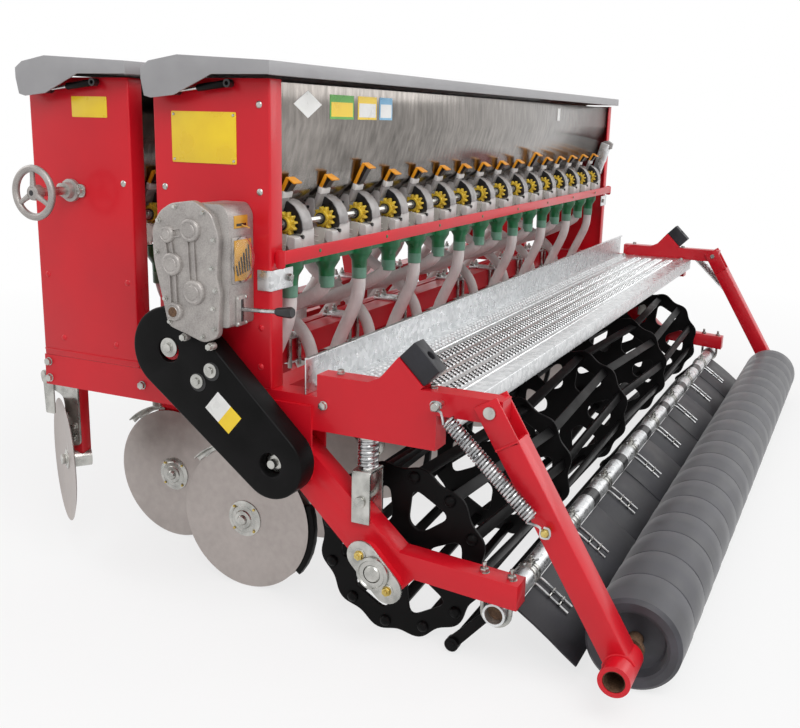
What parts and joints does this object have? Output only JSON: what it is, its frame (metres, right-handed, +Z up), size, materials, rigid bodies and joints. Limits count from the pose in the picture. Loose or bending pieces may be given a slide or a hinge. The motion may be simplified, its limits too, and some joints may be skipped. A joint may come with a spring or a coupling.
{
  "type": "seed drill",
  "caption": "Mounted seed and fertiliser drill with lidded hoppers, metering units, double-disc openers, a cage roller, a soil curtain and a hinged press roller.",
  "frame": {"origin": "middle of the bounding box on the ground plane", "axes": "+X along the working width to the right, +Y in the direction of travel, +Z up"},
  "size_m": [2.766, 1.569, 1.162],
  "materials": {
    "red_enamel": "glossy sprayed enamel",
    "stainless": "bright rolled stainless sheet",
    "grey_enamel": "satin grey enamel",
    "galvanised": "hot-dip galvanised",
    "black_enamel": "satin black enamel",
    "black_rubber": "moulded",
    "disc_steel": "rolled and ground",
    "cast_aluminium": "cast, bare",
    "clear_plastic": "moulded, translucent",
    "milky_plastic": "translucent hose",
    "spring_steel": "bright zinc plated"
  },
  "bodies": {
    "frame": {"main_frame": "red_enamel", "rear_toolbar": "red_enamel", "front_toolbar_headstock": "red_enamel", "rear_end_panel_left": "red_enamel", "rear_end_panel_right": "red_enamel", "rear_hopper": "stainless", "front_end_panel_left": "red_enamel", "front_end_panel_right": "red_enamel", "front_hopper": "stainless", "seed_meters": "clear_plastic", "meter_rail": "red_enamel", "seed_tubes": "milky_plastic", "fertiliser_meters_and_tubes": "milky_plastic", "gearbox": "cast_aluminium", "chain_guard": "black_enamel", "handwheel": "spring_steel", "walkway": "galvanised", "curtain_pipe": "galvanised", "soil_curtain": "black_rubber", "roller_arm_left": "red_enamel", "downforce_spring_left": "galvanised", "rubber_stop_left": "black_rubber", "ridger_bracket_left": "galvanised", "roller_arm_right": "red_enamel", "downforce_spring_right": "galvanised", "rubber_stop_right": "black_rubber", "ridger_bracket_right": "galvanised"},
    "rear_lid": {"rear_lid": "grey_enamel"},
    "rear_strut_barrel_left": {"rear_strut_barrel_left": "black_enamel"},
    "rear_strut_rod_left": {"rear_strut_rod_left": "spring_steel"},
    "rear_strut_barrel_right": {"rear_strut_barrel_right": "black_enamel"},
    "rear_strut_rod_right": {"rear_strut_rod_right": "spring_steel"},
    "front_lid": {"front_lid": "grey_enamel"},
    "front_strut_barrel_left": {"front_strut_barrel_left": "black_enamel"},
    "front_strut_rod_left": {"front_strut_rod_left": "spring_steel"},
    "front_strut_barrel_right": {"front_strut_barrel_right": "black_enamel"},
    "front_strut_rod_right": {"front_strut_rod_right": "spring_steel"},
    "press_frame": {"press_frame": "red_enamel"},
    "press_roller": {"press_roller": "black_rubber"},
    "arm_spring_left": {"arm_spring_left": "spring_steel"},
    "arm_spring_right": {"arm_spring_right": "spring_steel"},
    "cage_roller": {"cage_roller": "black_enamel"},
    "opener_discs_01": {"opener_discs_01": "disc_steel"},
    "opener_discs_02": {"opener_discs_02": "disc_steel"},
    "opener_discs_03": {"opener_discs_03": "disc_steel"},
    "opener_discs_04": {"opener_discs_04": "disc_steel"},
    "opener_discs_05": {"opener_discs_05": "disc_steel"},
    "opener_discs_06": {"opener_discs_06": "disc_steel"},
    "opener_discs_07": {"opener_discs_07": "disc_steel"},
    "opener_discs_08": {"opener_discs_08": "disc_steel"},
    "opener_discs_09": {"opener_discs_09": "disc_steel"},
    "opener_discs_10": {"opener_discs_10": "disc_steel"},
    "opener_discs_11": {"opener_discs_11": "disc_steel"},
    "opener_discs_12": {"opener_discs_12": "disc_steel"},
    "opener_discs_13": {"opener_discs_13": "disc_steel"},
    "opener_discs_14": {"opener_discs_14": "disc_steel"},
    "opener_discs_15": {"opener_discs_15": "disc_steel"},
    "opener_discs_16": {"opener_discs_16": "disc_steel"},
    "ridger_disc_left": {"ridger_disc_left": "disc_steel"},
    "ridger_disc_right": {"ridger_disc_right": "disc_steel"}
  },
  "joints": [
    {"name": "rear_lid_hinge", "type": "hinge", "parent": "frame", "child": "rear_lid", "pos_m": [0.033, 0.31453, 1.095], "axis": [-1, 0, 0], "range_deg": [0, 75]},
    {"name": "rear_strut_swing_left", "type": "hinge", "parent": "frame", "child": "rear_strut_barrel_left", "pos_m": [-1.279, 0.13453, 1.11], "axis": [1, 0, 0], "range_deg": [0, 21.17]},
    {"name": "rear_strut_slide_left", "type": "slide", "parent": "rear_strut_barrel_left", "child": "rear_strut_rod_left", "axis": [0, 0.9925, -0.122], "range_m": [0, 0.0475]},
    {"name": "rear_strut_swing_right", "type": "hinge", "parent": "frame", "child": "rear_strut_barrel_right", "pos_m": [1.345, 0.13453, 1.11], "axis": [1, 0, 0], "range_deg": [0, 21.17]},
    {"name": "rear_strut_slide_right", "type": "slide", "parent": "rear_strut_barrel_right", "child": "rear_strut_rod_right", "axis": [0, 0.9925, -0.122], "range_m": [0, 0.0475]},
    {"name": "front_lid_hinge", "type": "hinge", "parent": "frame", "child": "front_lid", "pos_m": [0.033, 0.64553, 1.095], "axis": [-1, 0, 0], "range_deg": [0, 75]},
    {"name": "front_strut_swing_left", "type": "hinge", "parent": "frame", "child": "front_strut_barrel_left", "pos_m": [-1.279, 0.46553, 1.11], "axis": [1, 0, 0], "range_deg": [0, 21.17]},
    {"name": "front_strut_slide_left", "type": "slide", "parent": "front_strut_barrel_left", "child": "front_strut_rod_left", "axis": [0, 0.9925, -0.122], "range_m": [0, 0.0475]},
    {"name": "front_strut_swing_right", "type": "hinge", "parent": "frame", "child": "front_strut_barrel_right", "pos_m": [1.345, 0.46553, 1.11], "axis": [1, 0, 0], "range_deg": [0, 21.17]},
    {"name": "front_strut_slide_right", "type": "slide", "parent": "front_strut_barrel_right", "child": "front_strut_rod_right", "axis": [0, 0.9925, -0.122], "range_m": [0, 0.0475]},
    {"name": "press_arm_hinge", "type": "hinge", "parent": "frame", "child": "press_frame", "pos_m": [0.033, -0.41947, 0.539], "axis": [-1, 0, 0], "range_deg": [0, 192.5]},
    {"name": "press_roller_spin", "type": "hinge", "parent": "press_frame", "child": "press_roller", "pos_m": [0.033, -0.68947, 0.095], "axis": [1, 0, 0], "continuous": true},
    {"name": "arm_spring_swing_left", "type": "hinge", "parent": "frame", "child": "arm_spring_left", "pos_m": [-1.295, -0.32147, 0.542], "axis": [-1, 0, 0], "range_deg": [0, 154.5], "deforming": ["arm_spring_left"]},
    {"name": "arm_spring_swing_right", "type": "hinge", "parent": "frame", "child": "arm_spring_right", "pos_m": [1.361, -0.32147, 0.542], "axis": [-1, 0, 0], "range_deg": [0, 154.5], "deforming": ["arm_spring_right"]},
    {"name": "cage_roller_spin", "type": "hinge", "parent": "frame", "child": "cage_roller", "pos_m": [0.033, -0.20247, 0.18642], "axis": [1, 0, 0], "continuous": true},
    {"name": "opener_spin_01", "type": "hinge", "parent": "frame", "child": "opener_discs_01", "pos_m": [-1.137, 0.20053, 0.165], "axis": [1, 0, 0], "continuous": true},
    {"name": "opener_spin_02", "type": "hinge", "parent": "frame", "child": "opener_discs_02", "pos_m": [-0.981, 0.52053, 0.165], "axis": [1, 0, 0], "continuous": true},
    {"name": "opener_spin_03", "type": "hinge", "parent": "frame", "child": "opener_discs_03", "pos_m": [-0.825, 0.20053, 0.165], "axis": [1, 0, 0], "continuous": true},
    {"name": "opener_spin_04", "type": "hinge", "parent": "frame", "child": "opener_discs_04", "pos_m": [-0.669, 0.52053, 0.165], "axis": [1, 0, 0], "continuous": true},
    {"name": "opener_spin_05", "type": "hinge", "parent": "frame", "child": "opener_discs_05", "pos_m": [-0.513, 0.20053, 0.165], "axis": [1, 0, 0], "continuous": true},
    {"name": "opener_spin_06", "type": "hinge", "parent": "frame", "child": "opener_discs_06", "pos_m": [-0.357, 0.52053, 0.165], "axis": [1, 0, 0], "continuous": true},
    {"name": "opener_spin_07", "type": "hinge", "parent": "frame", "child": "opener_discs_07", "pos_m": [-0.201, 0.20053, 0.165], "axis": [1, 0, 0], "continuous": true},
    {"name": "opener_spin_08", "type": "hinge", "parent": "frame", "child": "opener_discs_08", "pos_m": [-0.045, 0.52053, 0.165], "axis": [1, 0, 0], "continuous": true},
    {"name": "opener_spin_09", "type": "hinge", "parent": "frame", "child": "opener_discs_09", "pos_m": [0.111, 0.52053, 0.165], "axis": [1, 0, 0], "continuous": true},
    {"name": "opener_spin_10", "type": "hinge", "parent": "frame", "child": "opener_discs_10", "pos_m": [0.267, 0.20053, 0.165], "axis": [1, 0, 0], "continuous": true},
    {"name": "opener_spin_11", "type": "hinge", "parent": "frame", "child": "opener_discs_11", "pos_m": [0.423, 0.52053, 0.165], "axis": [1, 0, 0], "continuous": true},
    {"name": "opener_spin_12", "type": "hinge", "parent": "frame", "child": "opener_discs_12", "pos_m": [0.579, 0.20053, 0.165], "axis": [1, 0, 0], "continuous": true},
    {"name": "opener_spin_13", "type": "hinge", "parent": "frame", "child": "opener_discs_13", "pos_m": [0.735, 0.52053, 0.165], "axis": [1, 0, 0], "continuous": true},
    {"name": "opener_spin_14", "type": "hinge", "parent": "frame", "child": "opener_discs_14", "pos_m": [0.891, 0.20053, 0.165], "axis": [1, 0, 0], "continuous": true},
    {"name": "opener_spin_15", "type": "hinge", "parent": "frame", "child": "opener_discs_15", "pos_m": [1.047, 0.52053, 0.165], "axis": [1, 0, 0], "continuous": true},
    {"name": "opener_spin_16", "type": "hinge", "parent": "frame", "child": "opener_discs_16", "pos_m": [1.203, 0.20053, 0.165], "axis": [1, 0, 0], "continuous": true},
    {"name": "ridger_spin_left", "type": "hinge", "parent": "frame", "child": "ridger_disc_left", "pos_m": [-1.217, 0.66653, 0.247], "axis": [0.7986, -0.6018, 0], "continuous": true},
    {"name": "ridger_spin_right", "type": "hinge", "parent": "frame", "child": "ridger_disc_right", "pos_m": [1.283, 0.66653, 0.247], "axis": [-0.7986, -0.6018, 0], "continuous": true}
  ],
  "couplings": [
    {"joint": "rear_strut_swing_left", "follows": "rear_lid_hinge", "ratio": 0.27963},
    {"joint": "rear_strut_slide_left", "follows": "rear_lid_hinge", "m_per_rad": 0.03598},
    {"joint": "rear_strut_swing_right", "follows": "rear_lid_hinge", "ratio": 0.27963},
    {"joint": "rear_strut_slide_right", "follows": "rear_lid_hinge", "m_per_rad": 0.03598},
    {"joint": "front_strut_swing_left", "follows": "front_lid_hinge", "ratio": 0.27963},
    {"joint": "front_strut_slide_left", "follows": "front_lid_hinge", "m_per_rad": 0.03598},
    {"joint": "front_strut_swing_right", "follows": "front_lid_hinge", "ratio": 0.27963},
    {"joint": "front_strut_slide_right", "follows": "front_lid_hinge", "m_per_rad": 0.03598},
    {"joint": "arm_spring_swing_left", "follows": "press_arm_hinge", "ratio": 0.80005},
    {"joint": "arm_spring_swing_right", "follows": "press_arm_hinge", "ratio": 0.80005}
  ]
}
